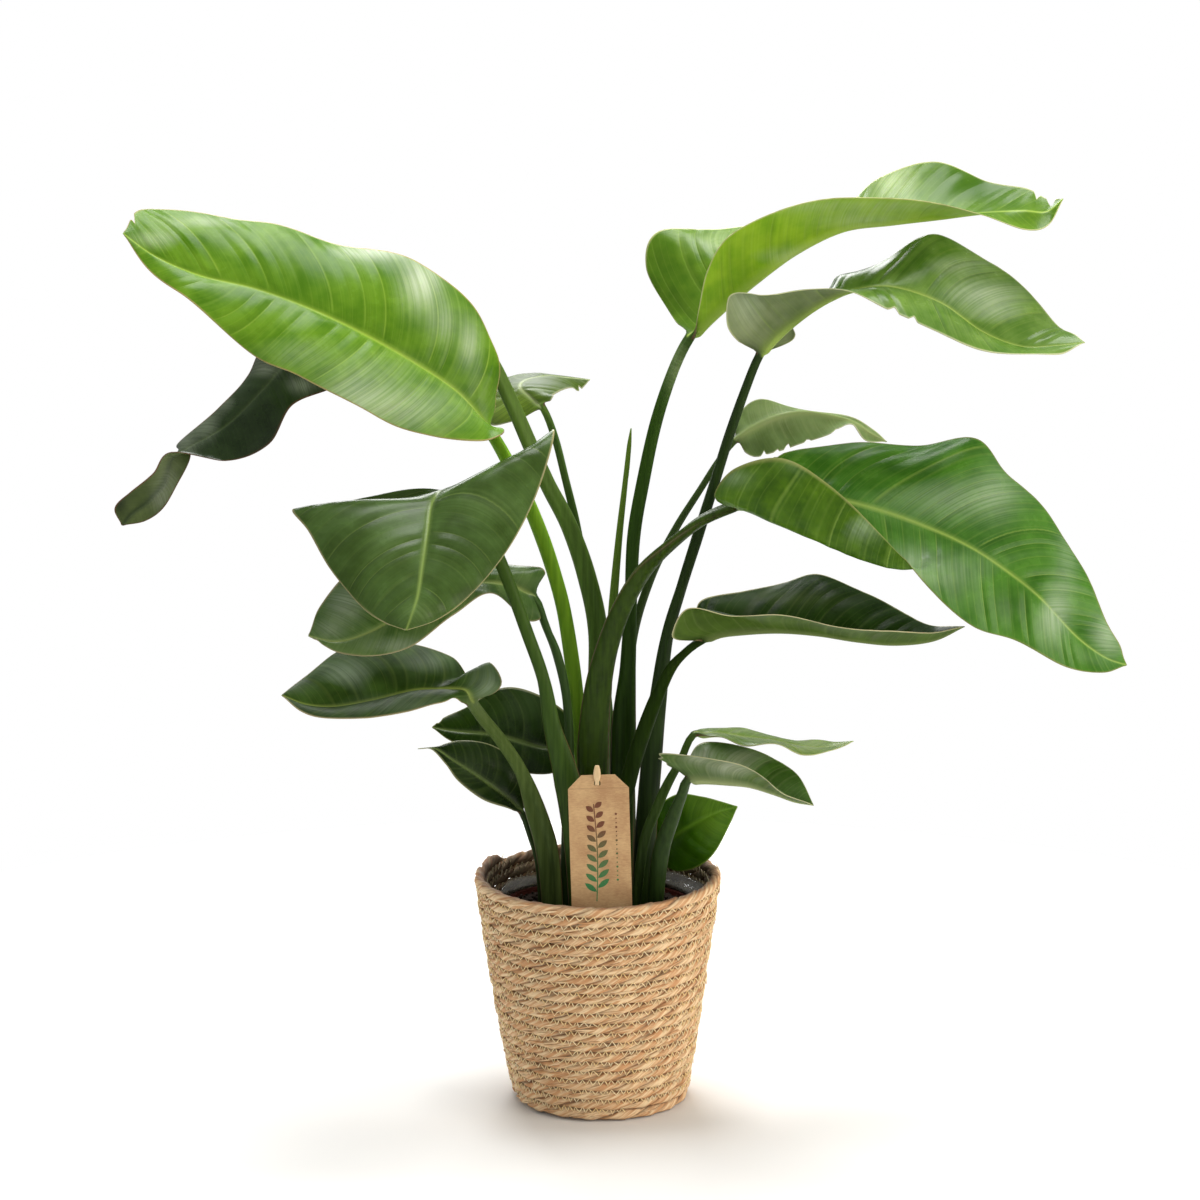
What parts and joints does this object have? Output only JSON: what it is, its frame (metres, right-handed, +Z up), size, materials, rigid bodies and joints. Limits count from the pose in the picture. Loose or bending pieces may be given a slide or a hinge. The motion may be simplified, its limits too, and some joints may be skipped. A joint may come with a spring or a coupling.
{
  "type": "potted bird of paradise",
  "caption": "Young bird of paradise plant with broad arching leaves on long petioles, in a grower's pot inside a coiled seagrass basket, with a blank card on a stick.",
  "frame": {"origin": "middle of the basket's flat underside", "axes": "+Z up along the basket's axis, -Y towards the front with the card, +X to the right seen from the front"},
  "size_m": [1.0371, 0.3827, 0.9844],
  "materials": {
    "seagrass_rope": "dry twisted seagrass, matte",
    "liner_film": "thin clear film",
    "pot_plastic": "terracotta-coloured plastic",
    "potting_soil": "loose dark potting soil",
    "leaf_bright": "waxy young leaf",
    "leaf_green": "waxy leaf",
    "leaf_dark": "glossy dark leaf",
    "leaf_pale": "pale matte underside",
    "kraft_card": "unprinted kraft card",
    "light_wood": "bare light wood"
  },
  "bodies": {
    "root": {"basket": "seagrass_rope", "liner": "liner_film", "grower_pot": "pot_plastic", "soil": "potting_soil", "leaf_01": "leaf_bright", "leaf_02": "leaf_dark", "leaf_03": "leaf_pale", "leaf_04": "leaf_green", "leaf_05": "leaf_dark", "leaf_06": "leaf_dark", "leaf_07": "leaf_dark", "leaf_08": "leaf_dark", "leaf_09": "leaf_bright", "leaf_10": "leaf_green", "leaf_11": "leaf_pale", "leaf_12": "leaf_green", "leaf_13": "leaf_dark", "leaf_14": "leaf_bright", "leaf_15": "leaf_green", "leaf_16": "leaf_bright", "spear": "leaf_bright", "tag": "kraft_card", "stick": "light_wood"}
  },
  "joints": []
}
